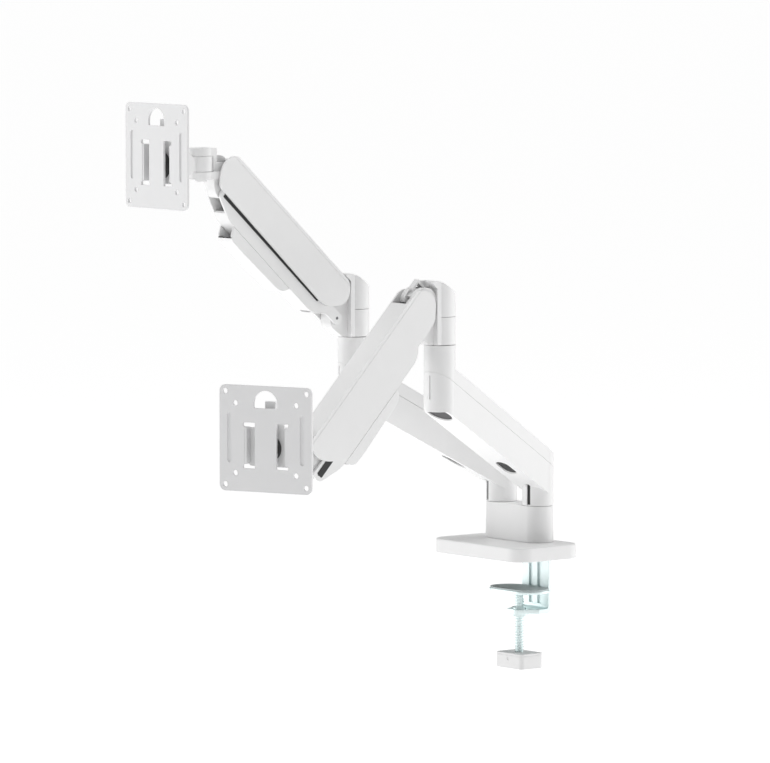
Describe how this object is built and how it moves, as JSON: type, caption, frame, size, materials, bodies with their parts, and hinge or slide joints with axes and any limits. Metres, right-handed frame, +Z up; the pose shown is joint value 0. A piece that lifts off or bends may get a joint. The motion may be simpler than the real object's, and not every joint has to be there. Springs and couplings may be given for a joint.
{
  "type": "dual monitor arm",
  "caption": "Two spring-balanced arms on one desk clamp, each with a rising lower arm, a parallel-link upper arm and a tilting, turning plate for a screen.",
  "frame": {"origin": "centre of the base plate's underside, on the desk top", "axes": "+Z up, +X along the desk edge to the right, -Y towards the user, +Y to the rear edge"},
  "size_m": [0.2841, 0.4824, 0.6409],
  "materials": {
    "white_paint": "satin",
    "white_plastic": "satin",
    "grey_paint": "satin",
    "clamp_steel": "satin",
    "dark_steel": "satin",
    "black_plastic": "matte",
    "black_paint": "gloss",
    "rubber_pad": "matte",
    "pale_rubber": "matte"
  },
  "bodies": {
    "base": {"base_plate": "white_paint", "post_cover": "white_plastic", "base_posts": "clamp_steel", "desk_pad": "rubber_pad", "clamp_bracket": "clamp_steel", "bracket_screws": "dark_steel", "clamp_nut": "clamp_steel", "r_post_cap": "dark_steel", "l_post_cap": "dark_steel"},
    "clamp_pad": {"clamp_pad": "clamp_steel", "clamp_pad_rubber": "pale_rubber"},
    "clamp_screw": {"clamp_screw": "clamp_steel", "clamp_handle": "white_plastic", "handle_pin": "white_plastic"},
    "r_lower": {"r_lower_arm": "white_paint", "r_lower_cover": "white_plastic", "r_base_bushes": "black_plastic", "r_elbow_bushes": "black_plastic"},
    "r_elbow": {"r_elbow_bracket": "white_paint", "r_elbow_shaft": "clamp_steel", "r_elbow_cover": "white_plastic", "r_link_pins": "dark_steel"},
    "r_upper": {"r_upper_arm": "white_paint", "r_spring_tube": "black_paint"},
    "r_link": {"r_lower_link": "white_paint", "r_cable_cover": "white_plastic"},
    "r_rod": {"r_spring_rod": "white_paint"},
    "r_head": {"r_head_bracket": "white_paint", "r_head_pins": "dark_steel", "r_swivel_pin": "white_paint"},
    "r_knuckle": {"r_swivel_knuckle": "white_paint"},
    "r_tilt": {"r_tilt_bracket": "white_paint", "r_tilt_bolt": "white_paint", "r_lock_screw": "grey_paint"},
    "r_plate": {"r_vesa_plate": "grey_paint", "r_friction_disc": "black_plastic"},
    "l_lower": {"l_lower_arm": "white_paint", "l_lower_cover": "white_plastic", "l_base_bushes": "black_plastic", "l_elbow_bushes": "black_plastic"},
    "l_elbow": {"l_elbow_bracket": "white_paint", "l_elbow_shaft": "clamp_steel", "l_elbow_cover": "white_plastic", "l_link_pins": "dark_steel"},
    "l_upper": {"l_upper_arm": "white_paint", "l_spring_tube": "black_paint"},
    "l_link": {"l_lower_link": "white_paint", "l_cable_cover": "white_plastic"},
    "l_rod": {"l_spring_rod": "white_paint"},
    "l_head": {"l_head_bracket": "white_paint", "l_head_pins": "dark_steel", "l_swivel_pin": "white_paint"},
    "l_knuckle": {"l_swivel_knuckle": "white_paint"},
    "l_tilt": {"l_tilt_bracket": "white_paint", "l_tilt_bolt": "white_paint", "l_lock_screw": "grey_paint"},
    "l_plate": {"l_vesa_plate": "grey_paint", "l_friction_disc": "black_plastic"}
  },
  "joints": [
    {"name": "clamp_travel", "type": "slide", "parent": "base", "child": "clamp_pad", "axis": [0, 0, 1], "range_m": [-0.009, 0.03]},
    {"name": "screw_turn", "type": "hinge", "parent": "clamp_pad", "child": "clamp_screw", "pos_m": [0, 0.02, -0.08], "axis": [0, 0, 1], "range_deg": [-1080, 3600]},
    {"name": "r_base_yaw", "type": "hinge", "parent": "base", "child": "r_lower", "pos_m": [0.0315, 0.02, 0.08], "axis": [0, 0, 1], "range_deg": [-15, 90]},
    {"name": "r_elbow_yaw", "type": "hinge", "parent": "r_lower", "child": "r_elbow", "pos_m": [0.07461, -0.15682, 0.248], "axis": [0, 0, 1], "range_deg": [-25, 110]},
    {"name": "r_lift", "type": "hinge", "parent": "r_elbow", "child": "r_upper", "pos_m": [0.07461, -0.18682, 0.296], "axis": [-1, 0, 0], "range_deg": [-3.4, 93.6]},
    {"name": "r_link_swing", "type": "hinge", "parent": "r_elbow", "child": "r_link", "pos_m": [0.07461, -0.18982, 0.27], "axis": [-1, 0, 0], "range_deg": [-3.4, 93.6]},
    {"name": "r_head_level", "type": "hinge", "parent": "r_upper", "child": "r_head", "pos_m": [0.07461, -0.33111, 0.14342], "axis": [-1, 0, 0], "range_deg": [-93.6, 3.4]},
    {"name": "r_rod_slide", "type": "slide", "parent": "r_upper", "child": "r_rod", "axis": [0, -0.6871, -0.7266], "range_m": [-0.00173, 0.02123]},
    {"name": "r_swivel", "type": "hinge", "parent": "r_head", "child": "r_knuckle", "pos_m": [0.07461, -0.35911, 0.15062], "axis": [0, 0, 1], "range_deg": [-105, 65]},
    {"name": "r_tilt", "type": "hinge", "parent": "r_knuckle", "child": "r_tilt", "pos_m": [0.08523, -0.38609, 0.15062], "axis": [-0.9304, -0.3665, 0], "range_deg": [-45, 45]},
    {"name": "r_roll", "type": "hinge", "parent": "r_tilt", "child": "r_plate", "pos_m": [0.09641, -0.41447, 0.15062], "axis": [0.3665, -0.9304, 0], "range_deg": [-90, 90]},
    {"name": "l_base_yaw", "type": "hinge", "parent": "base", "child": "l_lower", "pos_m": [-0.0315, 0.02, 0.08], "axis": [0, 0, 1], "range_deg": [-90, 15]},
    {"name": "l_elbow_yaw", "type": "hinge", "parent": "l_lower", "child": "l_elbow", "pos_m": [-0.07645, -0.15636, 0.248], "axis": [0, 0, 1], "range_deg": [-110, 25]},
    {"name": "l_lift", "type": "hinge", "parent": "l_elbow", "child": "l_upper", "pos_m": [-0.07645, -0.18636, 0.296], "axis": [-1, 0, 0], "range_deg": [-92.8, 4.2]},
    {"name": "l_link_swing", "type": "hinge", "parent": "l_elbow", "child": "l_link", "pos_m": [-0.07645, -0.18936, 0.27], "axis": [-1, 0, 0], "range_deg": [-92.8, 4.2]},
    {"name": "l_head_level", "type": "hinge", "parent": "l_upper", "child": "l_head", "pos_m": [-0.07645, -0.34044, 0.43868], "axis": [-1, 0, 0], "range_deg": [-4.2, 92.8]},
    {"name": "l_rod_slide", "type": "slide", "parent": "l_upper", "child": "l_rod", "axis": [0, -0.7337, 0.6794], "range_m": [-0.02106, 0.00191]},
    {"name": "l_swivel", "type": "hinge", "parent": "l_head", "child": "l_knuckle", "pos_m": [-0.07645, -0.36844, 0.44588], "axis": [0, 0, 1], "range_deg": [-85, 87]},
    {"name": "l_tilt", "type": "hinge", "parent": "l_knuckle", "child": "l_tilt", "pos_m": [-0.07706, -0.39744, 0.44588], "axis": [-0.9998, 0.0209, 0], "range_deg": [-45, 45]},
    {"name": "l_roll", "type": "hinge", "parent": "l_tilt", "child": "l_plate", "pos_m": [-0.0777, -0.42793, 0.44588], "axis": [-0.0209, -0.9998, 0], "range_deg": [-90, 90]}
  ],
  "couplings": [
    {"joint": "screw_turn", "follows": "clamp_travel", "rad_per_m": 2094.4},
    {"joint": "r_link_swing", "follows": "r_lift", "ratio": 1},
    {"joint": "r_head_level", "follows": "r_lift", "ratio": -1},
    {"joint": "r_rod_slide", "follows": "r_lift", "m_per_rad": 0.012383},
    {"joint": "l_link_swing", "follows": "l_lift", "ratio": 1},
    {"joint": "l_head_level", "follows": "l_lift", "ratio": -1},
    {"joint": "l_rod_slide", "follows": "l_lift", "m_per_rad": 0.012383}
  ]
}
